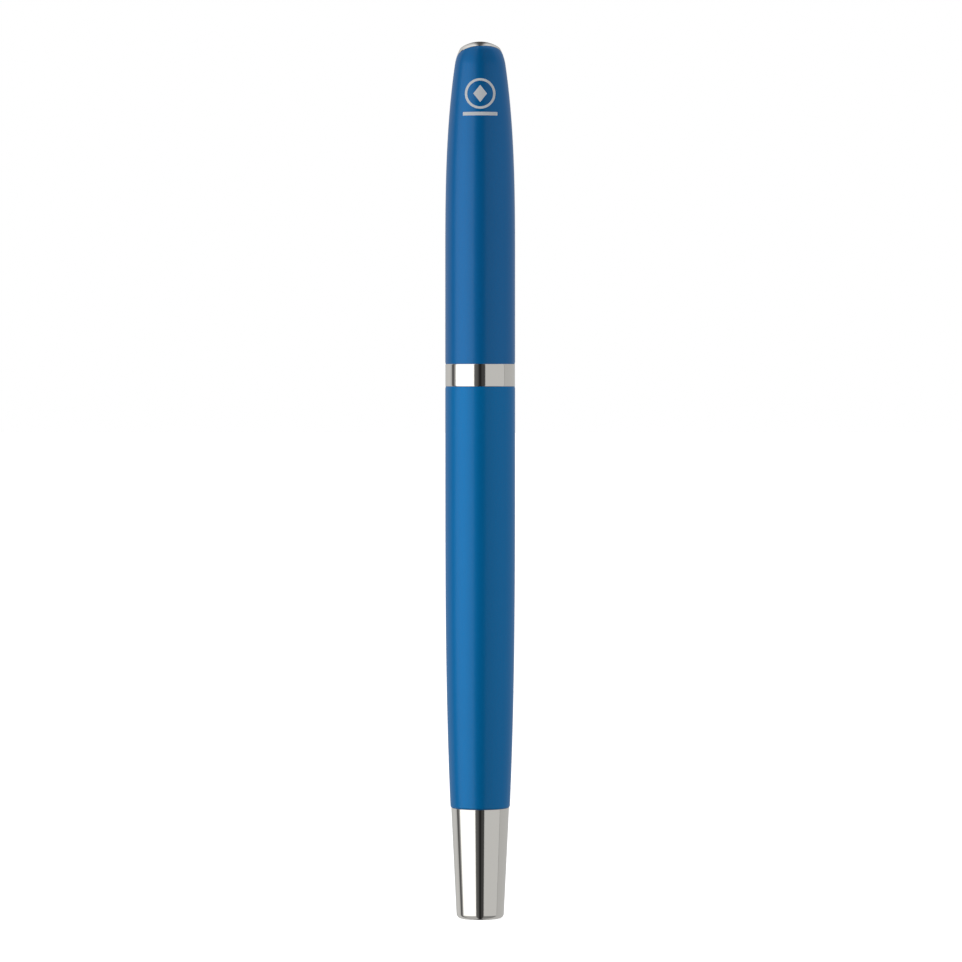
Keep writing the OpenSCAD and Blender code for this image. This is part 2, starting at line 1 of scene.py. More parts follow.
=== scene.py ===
"""A capped rollerball pen: turned shells, chrome trim, writing section, refill, spring and clip."""
import math

import bmesh
import bpy
from mathutils import Matrix, Vector

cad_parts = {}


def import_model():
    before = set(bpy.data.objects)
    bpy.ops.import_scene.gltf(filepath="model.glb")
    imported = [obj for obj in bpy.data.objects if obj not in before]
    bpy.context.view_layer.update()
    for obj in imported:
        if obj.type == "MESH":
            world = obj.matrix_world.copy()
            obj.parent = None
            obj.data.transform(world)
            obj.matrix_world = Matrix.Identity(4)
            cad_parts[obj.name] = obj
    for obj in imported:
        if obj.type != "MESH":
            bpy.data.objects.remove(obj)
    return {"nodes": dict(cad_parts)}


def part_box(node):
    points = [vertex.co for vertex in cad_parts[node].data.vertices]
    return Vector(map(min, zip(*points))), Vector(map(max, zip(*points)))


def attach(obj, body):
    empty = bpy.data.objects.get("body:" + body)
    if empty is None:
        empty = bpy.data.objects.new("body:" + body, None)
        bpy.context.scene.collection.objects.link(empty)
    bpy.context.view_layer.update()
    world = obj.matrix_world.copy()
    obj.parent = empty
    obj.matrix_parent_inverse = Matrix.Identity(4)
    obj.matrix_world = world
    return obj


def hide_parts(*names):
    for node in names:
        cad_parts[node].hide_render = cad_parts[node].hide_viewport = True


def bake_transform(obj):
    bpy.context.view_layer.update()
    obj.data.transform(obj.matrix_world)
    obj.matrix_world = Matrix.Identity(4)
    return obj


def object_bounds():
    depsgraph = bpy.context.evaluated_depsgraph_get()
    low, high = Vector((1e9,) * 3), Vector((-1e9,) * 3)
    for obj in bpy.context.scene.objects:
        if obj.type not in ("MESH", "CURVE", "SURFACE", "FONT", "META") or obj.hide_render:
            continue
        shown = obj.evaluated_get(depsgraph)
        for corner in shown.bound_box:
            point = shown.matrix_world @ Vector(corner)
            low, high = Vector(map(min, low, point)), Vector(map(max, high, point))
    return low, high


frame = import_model()
cad_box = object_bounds()

MM = 0.001

# ---------------------------------------------------------------- sizes from the frame


def foot(node):
    """Height of a CAD node's underside."""
    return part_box(node)[0][2]


def head(node):
    """Height of a CAD node's top."""
    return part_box(node)[1][2]


def radius(node):
    """Half of a CAD node's width along X."""
    return (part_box(node)[1][0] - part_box(node)[0][0]) / 2


TAIL_TOP = foot("barrel_tube")
SEAM = head("barrel_tube")
BAND_TOP = head("cap_ring")
TOP = head("cap_top")
PEN_R = radius("barrel_tube")
PLUG_FOOT = foot("cap_top")
COLLAR_TOP = head("section_ring")
SECTION_TOP = head("section_body")
NOSE_FOOT = foot("nose_cone")
NOSE_TOP = head("nose_cone")
REFILL_R = radius("refill_tube")

# ---------------------------------------------------------------- sizes of the shells

# Rounds on corners, from a crisp cut edge to an eased one
CRISP = 0.03 * MM
FINE = 0.05 * MM
BROKEN = 0.1 * MM
TRIMMED = 0.12 * MM
EASED = 0.15 * MM
SOFT = 0.2 * MM

# Barrel: plain down to BARREL_PLAIN, then its radius shrinks by BARREL_DROP down to the tail
WALL = 0.6 * MM
BARREL_PLAIN = SEAM - 12.74 * MM
BARREL_DROP = PEN_R - 4.685 * MM
BARREL_FOOT_ROUND = 0.22 * MM

# Lead-in bevels at the mouths of barrel and cap, and the centre band
LEAD = 0.3 * MM
LEAD_DEPTH = 0.06 * MM
BAND_R = PEN_R - 0.03 * MM
BAND_EDGE = 0.15 * MM
BAND_ROUND = 0.06 * MM

# Tail cone: a spigot fills the barrel's foot and a bore takes the spring
TAIL_TOP_R = 4.565 * MM
TAIL_END_R = 3.715 * MM
TAIL_CORNER = 0.85 * MM
TAIL_FLOOR = 5 * MM
TAIL_BORE_R = REFILL_R + 0.25 * MM
TAIL_SPIGOT_R = 3.97 * MM

# Cap: plain up to CAP_PLAIN, tapered up to its shoulder, then a bend and a dome cut off by a slanted rim
CAP_PLAIN = SEAM + 19.06 * MM
SHOULDER = TOP - 3.7 * MM
SHOULDER_R = 3.995 * MM
SHOULDER_BEND = 8 * MM
DOME_EDGE_R = 3.07 * MM
DOME_EDGE_ROUND = 0.35 * MM
DOME_EDGE_LOW = SHOULDER + 1.5 * MM
DOME_MIDDLE_R = 0.5 * MM
RIM = TOP - 2.1 * MM
RIM_RISE = math.tan(math.radians(23.8))
RIM_ROUND = 0.12 * MM
RIM_SEAM = 0.03 * MM
CAP_END_WALL = 4.2 * MM
PLUG_R = 2.6 * MM
SCREW_HOLE_R = 1.23 * MM

# Writing section: its bore and the threaded nipple behind it
SECTION_BORE = REFILL_R + 0.1 * MM
NIPPLE_R = SECTION_BORE + 0.5 * MM

# Clip: turned from the back by CLIP_TURN, a tongue in the dome, a bend, a slope, then along the cap
CLIP_TURN = math.radians(10)
CLIP_T = 0.8 * MM
CLIP_TOP_HALF = 2.2 * MM
CLIP_END_HALF = 1.6 * MM
CLIP_DROP = 2.2 * MM
CLIP_BEND = 1 * MM
CLIP_BEND_REACH = 5 * MM
CLIP_GAP = 0.95 * MM
CLIP_PARALLEL = 15 * MM
CLIP_TONGUE = 1.6 * MM
CLIP_EDGE_ROUND = 0.16 * MM
CLIP_EDGE_ANGLE = math.radians(50)
BEAD_R = 0.8 * MM
BEAD_GAP = 0.1 * MM
BEAD_RISE = 2.5 * MM

# The room's brightness, as (degrees to the right of the front, level); it rises by OVERHEAD_LIFT to the zenith
BEARING_LEVELS = (
    (-180, 0.50), (-125, 0.60), (-112, 0.52), (-106, 0.10), (-98, 0.10), (-92, 0.45), (-22, 0.45),
    (-17, 0.13), (-6, 0.08), (0, 0.14), (6, 0.06), (14, 0.05), (19, 0.22), (83, 0.22), (90, 0.48),
    (130, 0.50), (180, 0.50))
OVERHEAD_LIFT = 1.2
FLOOR_GLOW = 0.75
BOX_DISTANCE = 200 * MM
BOX_WIDTH = 270 * MM
BOX_HEIGHT = 270 * MM
BOX_CENTRE_Z = 75 * MM

# Mesh detail: steps round Z and steps along an outline
SEGMENTS = 160
CAP_SEGMENTS = 240
INNER_SEGMENTS = 96
FLANK_STEPS = 60
BEND_STEPS = 40
CAVITY_STEPS = 24
WALL_STEP = 1.5 * MM
INNER = {"Steps per Turn": INNER_SEGMENTS}

# Edges bent more than CREASE are sharp, and points closer than a weld, in metres, become one
CREASE = math.radians(30)
SWEEP_WELD = 1e-6
WELD = 1e-7

# A round takes at most CORNER_SHARE of the flats beside it, with guard points GUARD of its reach away
CORNER_SHARE = 0.45
GUARD = 0.1

# ---------------------------------------------------------------- node helpers


def add(tree, kind, inputs=None, **settings):
    """Adds a node. Inputs are values, or the output sockets that feed them."""
    new = tree.nodes.new(kind)
    for key, value in settings.items():
        setattr(new, key, value)
    for key, value in (inputs or {}).items():
        if isinstance(value, bpy.types.NodeSocket):
            tree.links.new(value, new.inputs[key])
        else:
            new.inputs[key].default_value = value
    return new


def maths(tree, operation, *values):
    """The output of a Math node."""
    return add(tree, "ShaderNodeMath", dict(enumerate(values)), operation=operation).outputs[0]


def new_group(name, kind, inputs, outputs):
    """A node group with its sockets: each is (name, type, default)."""
    tree = bpy.data.node_groups.new(name, kind)
    for label, socket, value in inputs:
        made = tree.interface.new_socket(label, in_out="INPUT", socket_type=socket)
        if value is not None:
            made.default_value = value
    for label, socket in outputs:
        tree.interface.new_socket(label, in_out="OUTPUT", socket_type=socket)
    return tree, tree.nodes.new("NodeGroupInput").outputs, tree.nodes.new("NodeGroupOutput").inputs


# ---------------------------------------------------------------- turned and wound parts


def turning_tree():
    """Sweeps an outline in the XZ plane round Z: one plain turn makes a turned part, and turns with a
    pitch make a thread or a spring. The outline can narrow along a cubic between two heights."""
    tree, given, result = new_group(
        "Turned or wound part", "GeometryNodeTree",
        [("Outline", "NodeSocketGeometry", None), ("Steps per Turn", "NodeSocketInt", SEGMENTS),
         ("Turns", "NodeSocketFloat", 1.0), ("Pitch", "NodeSocketFloat", 0.0),
         ("End Pitch", "NodeSocketFloat", 0.0), ("Taper From", "NodeSocketFloat", 1.0),
         ("Taper To", "NodeSocketFloat", 2.0), ("Taper Depth", "NodeSocketFloat", 0.0),
         ("Crease Angle", "NodeSocketFloat", CREASE), ("Finish", "NodeSocketMaterial", None)],
        [("Part", "NodeSocketGeometry")])

    # Narrow the outline
    drawn = add(tree, "ShaderNodeSeparateXYZ", {0: add(tree, "GeometryNodeInputPosition").outputs[0]}).outputs
    span = maths(tree, "SUBTRACT", given["Taper To"], given["Taper From"])
    along = maths(tree, "DIVIDE", maths(tree, "SUBTRACT", drawn["Z"], given["Taper From"]), span)
    cubed = maths(tree, "POWER", maths(tree, "MAXIMUM", along, 0.0), 3.0)
    narrowed = maths(tree, "SUBTRACT", drawn["X"], maths(tree, "MULTIPLY", cubed, given["Taper Depth"]))
    tapered = add(tree, "ShaderNodeCombineXYZ", {"X": narrowed, "Z": drawn["Z"]}).outputs[0]
    outline = add(tree, "GeometryNodeSetPosition",
                  {"Geometry": given["Outline"], "Position": tapered}).outputs[0]

    # A grid with a row for each outline point and a column for each step; the last row is the first again
    count = add(tree, "GeometryNodeAttributeDomainSize", {"Geometry": outline}).outputs["Point Count"]
    steps = maths(tree, "ROUND", maths(tree, "MULTIPLY", given["Steps per Turn"], given["Turns"]))
    rings = maths(tree, "ADD", steps, 1.0)
    grid = add(tree, "GeometryNodeMeshGrid",
               {"Vertices X": maths(tree, "ADD", count, 1.0), "Vertices Y": rings}).outputs["Mesh"]
    index = add(tree, "GeometryNodeInputIndex").outputs[0]
    row = maths(tree, "FLOOR", maths(tree, "DIVIDE", maths(tree, "ADD", index, 0.5), rings))
    step = maths(tree, "SUBTRACT", index, maths(tree, "MULTIPLY", row, rings))
    corner = maths(tree, "MODULO", row, count)
    sample = add(tree, "GeometryNodeSampleIndex",
                 {"Geometry": outline, "Value": add(tree, "GeometryNodeInputPosition").outputs[0],
                  "Index": corner}, data_type="FLOAT_VECTOR")
    point = add(tree, "ShaderNodeSeparateXYZ", {0: sample.outputs[0]}).outputs

    # Sweep the grid: the first and last turn rise by the end pitch, those between by the pitch
    turn = maths(tree, "DIVIDE", step, given["Steps per Turn"])
    angle = maths(tree, "MULTIPLY", turn, 2 * math.pi)
    inner_turns = maths(tree, "SUBTRACT", given["Turns"], 2.0)
    first = maths(tree, "MINIMUM", turn, 1.0)
    past_first = maths(tree, "SUBTRACT", turn, 1.0)
    middle = maths(tree, "MAXIMUM", maths(tree, "MINIMUM", past_first, inner_turns), 0.0)
    last_from = maths(tree, "SUBTRACT", given["Turns"], 1.0)
    last = maths(tree, "MAXIMUM", maths(tree, "SUBTRACT", turn, last_from), 0.0)
    closed_rise = maths(tree, "MULTIPLY", maths(tree, "ADD", first, last), given["End Pitch"])
    rise = maths(tree, "ADD", closed_rise, maths(tree, "MULTIPLY", middle, given["Pitch"]))
    swept = add(tree, "ShaderNodeCombineXYZ",
                {"X": maths(tree, "MULTIPLY", point["X"], maths(tree, "COSINE", angle)),
                 "Y": maths(tree, "MULTIPLY", point["X"], maths(tree, "SINE", angle)),
                 "Z": maths(tree, "ADD", point["Z"], rise)}).outputs[0]
    shell = add(tree, "GeometryNodeSetPosition", {"Geometry": grid, "Position": swept}).outputs[0]

    # Weld it, smooth it but for its creases, and give it its finish
    welded = add(tree, "GeometryNodeMergeByDistance", {"Geometry": shell, "Distance": SWEEP_WELD}).outputs[0]
    smooth = add(tree, "GeometryNodeSetShadeSmooth", {"Geometry": welded, "Shade Smooth": True}).outputs[0]
    bend = add(tree, "GeometryNodeInputMeshEdgeAngle").outputs["Unsigned Angle"]
    sharp = add(tree, "FunctionNodeCompare", {"A": bend, "B": given["Crease Angle"]},
                data_type="FLOAT", operation="GREATER_THAN").outputs[0]
    creased = add(tree, "GeometryNodeSetShadeSmooth",
                  {"Geometry": smooth, "Selection": sharp, "Shade Smooth": False}, domain="EDGE").outputs[0]
    real = add(tree, "GeometryNodeRealizeInstances", {"Geometry": creased}).outputs[0]
    finished = add(tree, "GeometryNodeSetMaterial", {"Geometry": real, "Material": given["Finish"]}).outputs[0]
    tree.links.new(finished, result["Part"])
    return tree


TURNING = turning_tree()


def clean(bm):
    """Drops stray edges and turns the faces outwards."""
    bmesh.ops.delete(bm, geom=[e for e in bm.edges if e.is_wire], context="EDGES")
    bmesh.ops.recalc_face_normals(bm, faces=bm.faces)


def seal(mesh):
    """Closes the open ends of a mesh."""
    bm = bmesh.new()
    bm.from_mesh(mesh)
    rim = [e for e in bm.edges if e.is_boundary]
    if rim:
        bmesh.ops.holes_fill(bm, edges=rim, sides=0)
    clean(bm)
    bm.to_mesh(mesh)
    bm.free()


def show(name, mesh):
    """A new object in the scene."""
    made = bpy.data.objects.new(name, mesh)
    bpy.context.scene.collection.objects.link(made)
    return made


def built(name, bm, finish):
    """An object from bmesh data, smooth but for its creases."""
    for face in bm.faces:
        face.smooth = True
    for edge in bm.edges:
        edge.smooth = edge.calc_face_angle(0) < CREASE
    mesh = bpy.data.meshes.new(name)
    bm.to_mesh(mesh)
    bm.free()
    mesh.materials.append(finish)
    return show(name, mesh)


def turned(name, outline, finish, **sizes):
    """A part swept from its outline of (r, z) points by the turning tree, whose inputs are in sizes."""
    count = len(outline)
    blank = bpy.data.meshes.new(name + "_outline")
    blank.from_pydata([(r, 0, z) for r, z in outline], [(i, (i + 1) % count) for i in range(count)], [])
    source = show(name + "_outline", blank)
    swept = source.modifiers.new("Turning", "NODES")
    swept.node_group = TURNING
    sizes = {"Finish": finish, **sizes}
    for item in TURNING.interface.items_tree:
        if item.in_out == "INPUT" and item.name in sizes:
            swept[item.identifier] = sizes[item.name]
    depsgraph = bpy.context.evaluated_depsgraph_get()
    mesh = bpy.data.meshes.new_from_object(source.evaluated_get(depsgraph), depsgraph=depsgraph)
    source.modifiers.remove(swept)
    bpy.data.objects.remove(source)
    bpy.data.meshes.remove(blank)
    mesh.name = name
    seal(mesh)
    mesh.materials.clear()
    mesh.materials.append(finish)
    mesh.polygons.foreach_set("material_index", [0] * len(mesh.polygons))
    return show(name, mesh)


def rounded(corners, steps=4):
    """Outline points of a loop of corners (r, z, round): a corner with a round becomes an arc, with a
    guard point close before and after it that keeps the flats beside it flat."""
    points = []
    count = len(corners)
    for i, (r, z, bend) in enumerate(corners):
        here = Vector((r, z))
        if not bend:
            points.append((r, z))
            continue
        back = Vector(corners[i - 1][:2]) - here
        on = Vector(corners[(i + 1) % count][:2]) - here
        half = back.angle(on) / 2
        reach = min(bend / math.tan(half), CORNER_SHARE * back.length, CORNER_SHARE * on.length)
        back, on = back.normalized(), on.normalized()
        start, end = here + back * reach, here + on * reach
        centre = here + (back + on).normalized() * (reach / math.cos(half))
        points.append(tuple(start + back * reach * GUARD))
        for k in range(steps + 1):
            spoke = (start - centre).slerp(end - centre, k / steps).normalized()
            points.append(tuple(centre + spoke * (start - centre).length))
        points.append(tuple(end + on * reach * GUARD))
    return points


def plain(points):
    """Points as corners without a round."""
    return [(r, z, 0) for r, z in points]


def between(a, b, part):
    """The point a part of the way from a to b."""
    return (a[0] + (b[0] - a[0]) * part, a[1] + (b[1] - a[1]) * part)


def wall_points(z_from, z_to, r, step=WALL_STEP):
    """Evenly spaced points up or down a plain wall."""
    count = max(1, round(abs(z_to - z_from) / step))
    return [(r, z_from + (z_to - z_from) * i / count) for i in range(1, count)]


# ---------------------------------------------------------------- shader groups


def grain_group():
    """A fine blasted grain: a height, and a mask of the same grain."""
    tree, given, result = new_group(
        "Fine grain", "ShaderNodeTree",
        [("Vector", "NodeSocketVector", None), ("Grains per mm", "NodeSocketFloat", 12.0),
         ("Depth", "NodeSocketFloat", 0.3)],
        [("Height", "NodeSocketFloat"), ("Mask", "NodeSocketFloat")])
    scale = maths(tree, "MULTIPLY", given["Grains per mm"], 1 / MM)
    fine = add(tree, "ShaderNodeTexNoise",
               {"Vector": given["Vector"], "Scale": scale, "Detail": 2.0}).outputs["Fac"]
    tree.links.new(maths(tree, "MULTIPLY", fine, given["Depth"]), result["Height"])
    tree.links.new(fine, result["Mask"])
    return tree


def handling_group():
    """Soft cloudy patches left by handling, about a mean value, and the same as a mask."""
    tree, given, result = new_group(
        "Handling", "ShaderNodeTree",
        [("Vector", "NodeSocketVector", None), ("Patch size mm", "NodeSocketFloat", 6.0),
         ("Mean", "NodeSocketFloat", 0.3), ("Spread", "NodeSocketFloat", 0.05)],
        [("Value", "NodeSocketFloat"), ("Mask", "NodeSocketFloat")])
    scale = maths(tree, "DIVIDE", 1 / MM, given["Patch size mm"])
    cloud = add(tree, "ShaderNodeTexNoise",
                {"Vector": given["Vector"], "Scale": scale, "Detail": 4.0, "Roughness": 0.6}).outputs["Fac"]
    offset = maths(tree, "MULTIPLY", maths(tree, "SUBTRACT", cloud, 0.5), given["Spread"])
    tree.links.new(maths(tree, "ADD", given["Mean"], offset), result["Value"])
    tree.links.new(cloud, result["Mask"])
    return tree


def turning_marks_group():
    """The fine rings that a lathe tool or a polishing wheel leaves round Z. They drift by part of a ring."""
    drift_scale, drift_rings = 400.0, 0.6
    tree, given, result = new_group(
        "Turning marks", "ShaderNodeTree",
        [("Vector", "NodeSocketVector", None), ("Rings per mm", "NodeSocketFloat", 20.0),
         ("Depth", "NodeSocketFloat", 0.3)],
        [("Height", "NodeSocketFloat")])
    rings_per_metre = maths(tree, "MULTIPLY", given["Rings per mm"], 1 / MM)
    height = add(tree, "ShaderNodeSeparateXYZ", {0: given["Vector"]}).outputs["Z"]
    ring = maths(tree, "MULTIPLY", height, rings_per_metre)
    cloud = add(tree, "ShaderNodeTexNoise", {"Vector": given["Vector"], "Scale": drift_scale}).outputs["Fac"]
    drift = maths(tree, "MULTIPLY", cloud, drift_rings)
    rings = add(tree, "ShaderNodeTexNoise", {"W": maths(tree, "ADD", ring, drift), "Scale": 1.0, "Detail": 3.0},
                noise_dimensions="1D").outputs["Fac"]
    tree.links.new(maths(tree, "MULTIPLY", rings, given["Depth"]), result["Height"])
    return tree


GRAIN = grain_group()
HANDLING = handling_group()
TURNING_MARKS = turning_marks_group()


def group_node(tree, group, inputs):
    """The outputs of a node group placed in a material with its own values."""
    return add(tree, "ShaderNodeGroup", inputs, node_tree=group).outputs


def material(name, **values):
    """A material with a Principled shader. Returns it, its tree, its shader and object coordinates."""
    made = bpy.data.materials.new(name)
    made.use_nodes = True
    tree = made.node_tree
    shader = tree.nodes["Principled BSDF"]
    for key, value in values.items():
        shader.inputs[key.replace("_", " ")].default_value = value
    return made, tree, shader, add(tree, "ShaderNodeTexCoord").outputs["Object"]


def bump(tree, shader, height, strength, distance):
    """Relief from a height."""
    relief = add(tree, "ShaderNodeBump", {"Strength": strength, "Distance": distance, "Height": height})
    tree.links.new(relief.outputs[0], shader.inputs["Normal"])


def tint(tree, shader, mask, low, high):
    """The base colour runs between two colours with a mask."""
    mixed = add(tree, "ShaderNodeMix", {"Factor": mask, "A": (*low, 1), "B": (*high, 1)}, data_type="RGBA")
    tree.links.new(mixed.outputs["Result"], shader.inputs["Base Color"])


def worn(tree, shader, place, size, mean, spread):
    """Roughness about a mean, with patches of a size in mm left by handling. Returns their mask."""
    patches = group_node(tree, HANDLING, {
        "Vector": place, "Patch size mm": size, "Mean": mean, "Spread": spread})
    tree.links.new(patches["Value"], shader.inputs["Roughness"])
    return patches["Mask"]


# ---------------------------------------------------------------- finishes


def anodised(name, deep, bright, roughness, coat):
    """Satin anodised aluminium: a dyed metal under a thin clear oxide, with a blasted grain."""
    made, tree, shader, place = material(
        name, Metallic=1.0, Coat_Weight=coat, Coat_Roughness=0.22, Coat_IOR=1.5)
    worn(tree, shader, place, size=9.0, mean=roughness, spread=0.04)
    grain = group_node(tree, GRAIN, {"Vector": place, "Grains per mm": 9.0, "Depth": 1.0})
    tint(tree, shader, grain["Mask"], deep, bright)
    bump(tree, shader, grain["Height"], strength=0.12, distance=0.01 * MM)
    return made


def chrome(name, roughness=0.05):
    """Bright chrome plate with the trace of its polishing and light handling."""
    made, tree, shader, place = material(name, Base_Color=(0.85, 0.83, 0.785, 1), Metallic=1.0)
    worn(tree, shader, place, size=3.0, mean=roughness, spread=0.06)
    marks = group_node(tree, TURNING_MARKS, {"Vector": place, "Rings per mm": 14.0, "Depth": 1.0})
    bump(tree, shader, marks["Height"], strength=0.05, distance=0.004 * MM)
    return made


def machined(name, low, high, roughness, rings=10.0, strength=0.35):
    """Turned bare metal with visible tool rings."""
    made, tree, shader, place = material(name, Metallic=1.0)
    mask = worn(tree, shader, place, size=2.0, mean=roughness, spread=0.1)
    marks = group_node(tree, TURNING_MARKS, {"Vector": place, "Rings per mm": rings, "Depth": 1.0})
    tint(tree, shader, mask, low, high)
    bump(tree, shader, marks["Height"], strength, distance=0.02 * MM)
    return made


def moulded(name, low, high, roughness, strength=0.2, **values):
    """Moulded plastic with the fine texture of its tool."""
    made, tree, shader, place = material(name, IOR=1.5, **values)
    mask = worn(tree, shader, place, size=4.0, mean=roughness, spread=0.08)
    grain = group_node(tree, GRAIN, {"Vector": place, "Grains per mm": 6.0, "Depth": 1.0})
    tint(tree, shader, mask, low, high)
    bump(tree, shader, grain["Height"], strength, distance=0.01 * MM)
    return made


def white_print():
    """Pad-printed white ink, a little uneven where it lies on the grain."""
    made, tree, shader, place = material("White print", Roughness=0.5)
    grain = group_node(tree, GRAIN, {"Vector": place, "Grains per mm": 5.0, "Depth": 1.0})
    tint(tree, shader, grain["Mask"], (0.70, 0.74, 0.78), (0.86, 0.87, 0.88))
    bump(tree, shader, grain["Height"], strength=0.2, distance=0.01 * MM)
    return made


CAP_BLUE = anodised("Blue anodised cap", deep=(0.001, 0.180, 0.480), bright=(0.003, 0.208, 0.540),
                    roughness=0.62, coat=0.52)
BARREL_BLUE = anodised("Blue anodised barrel", deep=(0.000, 0.220, 0.545), bright=(0.002, 0.248, 0.610),
                       roughness=0.62, coat=0.40)
CHROME = chrome("Bright chrome")
CLIP_CHROME = chrome("Chromed spring strip", roughness=0.08)
BRASS = machined("Turned brass", low=(0.60, 0.40, 0.16), high=(0.78, 0.55, 0.25), roughness=0.28)
TIP_STEEL = machined("Nickel silver tip", low=(0.58, 0.56, 0.52), high=(0.72, 0.70, 0.65),
                     roughness=0.22, rings=16.0)
BALL_CARBIDE = machined("Ground carbide ball", low=(0.25, 0.25, 0.26), high=(0.36, 0.36, 0.37),
                        roughness=0.12, strength=0.05)
SPRING_WIRE = machined("Drawn spring wire", low=(0.42, 0.42, 0.43), high=(0.58, 0.58, 0.58),
                       roughness=0.3, rings=4.0)
SCREW_BLACK = machined("Blackened screw", low=(0.05, 0.05, 0.055), high=(0.09, 0.09, 0.095), roughness=0.4)
GRIP_BLACK = moulded("Black grip plastic", low=(0.010, 0.010, 0.012), high=(0.020, 0.020, 0.022),
                     roughness=0.33)
SLEEVE_BLACK = moulded("Cap sleeve plastic", low=(0.020, 0.020, 0.023), high=(0.034, 0.034, 0.038),
                       roughness=0.5)
REFILL_CLEAR = moulded("Milky refill plastic", low=(0.72, 0.75, 0.79), high=(0.84, 0.86, 0.88),
                       roughness=0.3, Subsurface_Weight=0.2, Subsurface_Scale=0.5 * MM)
REFILL_TRIM = moulded("Dark refill plastic", low=(0.012, 0.018, 0.05), high=(0.02, 0.03, 0.075),
                      roughness=0.35)
INK_FIBRE = moulded("Inked fibre", low=(0.003, 0.006, 0.04), high=(0.01, 0.02, 0.10),
                    roughness=0.7, strength=0.8)
PRINT_WHITE = white_print()


def place(piece, body, slot, *nodes):
    """The piece rides on a body and stands for its CAD nodes."""
    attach(piece, body)
    if nodes:
        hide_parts(*nodes)


def finish_node(node, finish):
    """A CAD node that stays visible gets its finish."""
    slots = frame["nodes"][node].data.materials
    slots.clear()
    slots.append(finish)


# ---------------------------------------------------------------- barrel


def barrel_tube():
    outer = [(PEN_R, TAIL_TOP, BARREL_FOOT_ROUND)]
    outer += plain(wall_points(TAIL_TOP, SEAM, PEN_R))
    outer += [(PEN_R, SEAM - LEAD, BROKEN), (PEN_R - LEAD_DEPTH, SEAM, FINE)]
    inner = [(PEN_R - WALL, SEAM, BROKEN)]
    inner += plain(wall_points(SEAM, TAIL_TOP, PEN_R - WALL))
    inner += [(PEN_R - WALL, TAIL_TOP, 0)]
    tube = turned("barrel_shell", rounded(outer + inner), BARREL_BLUE, **{
        "Steps per Turn": SEGMENTS, "Taper From": BARREL_PLAIN, "Taper To": TAIL_TOP,
        "Taper Depth": BARREL_DROP})
    place(tube, "barrel", "barrel_anodised", "barrel_tube")


def tail_cone():
    spigot_top = head("tail_cone")
    steps = 12
    flank = [(TAIL_END_R + (TAIL_TOP_R - TAIL_END_R) * i / steps, TAIL_TOP * i / steps)
             for i in range(1, steps)]
    corners = [(0, 0, 0), (TAIL_END_R, 0, TAIL_CORNER)] + plain(flank) + [
        (TAIL_TOP_R, TAIL_TOP, TRIMMED), (TAIL_SPIGOT_R, TAIL_TOP, FINE),
        (TAIL_SPIGOT_R, spigot_top, SOFT), (TAIL_BORE_R, spigot_top, BROKEN),
        (TAIL_BORE_R, TAIL_FLOOR, BROKEN), (0, TAIL_FLOOR, 0)]
    tail = turned("tail_shell", rounded(corners, steps=8), CHROME)
    place(tail, "barrel", "bright_metal", "tail_cone")


def refill_spring():
    wire, slack = 0.25 * MM, 0.2 * MM
    coil = REFILL_R - slack - wire
    turns, steps_per_turn = 8, 48
    end_pitch = 1.1 * 2 * wire
    low, high = foot("refill_spring") + wire, head("refill_spring") - wire
    pitch = (high - low - 2 * end_pitch) / (turns - 2)
    sides = 14
    angles = [2 * math.pi * i / sides for i in range(sides)]
    round_wire = [(coil + wire * math.cos(a), low + wire * math.sin(a)) for a in angles]
    spring = turned("spring_wire", round_wire, SPRING_WIRE, **{
        "Steps per Turn": steps_per_turn, "Turns": float(turns), "Pitch": pitch, "End Pitch": end_pitch,
        "Crease Angle": 2 * CREASE})
    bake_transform(spring)
    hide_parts("refill_spring")


# ---------------------------------------------------------------- refill


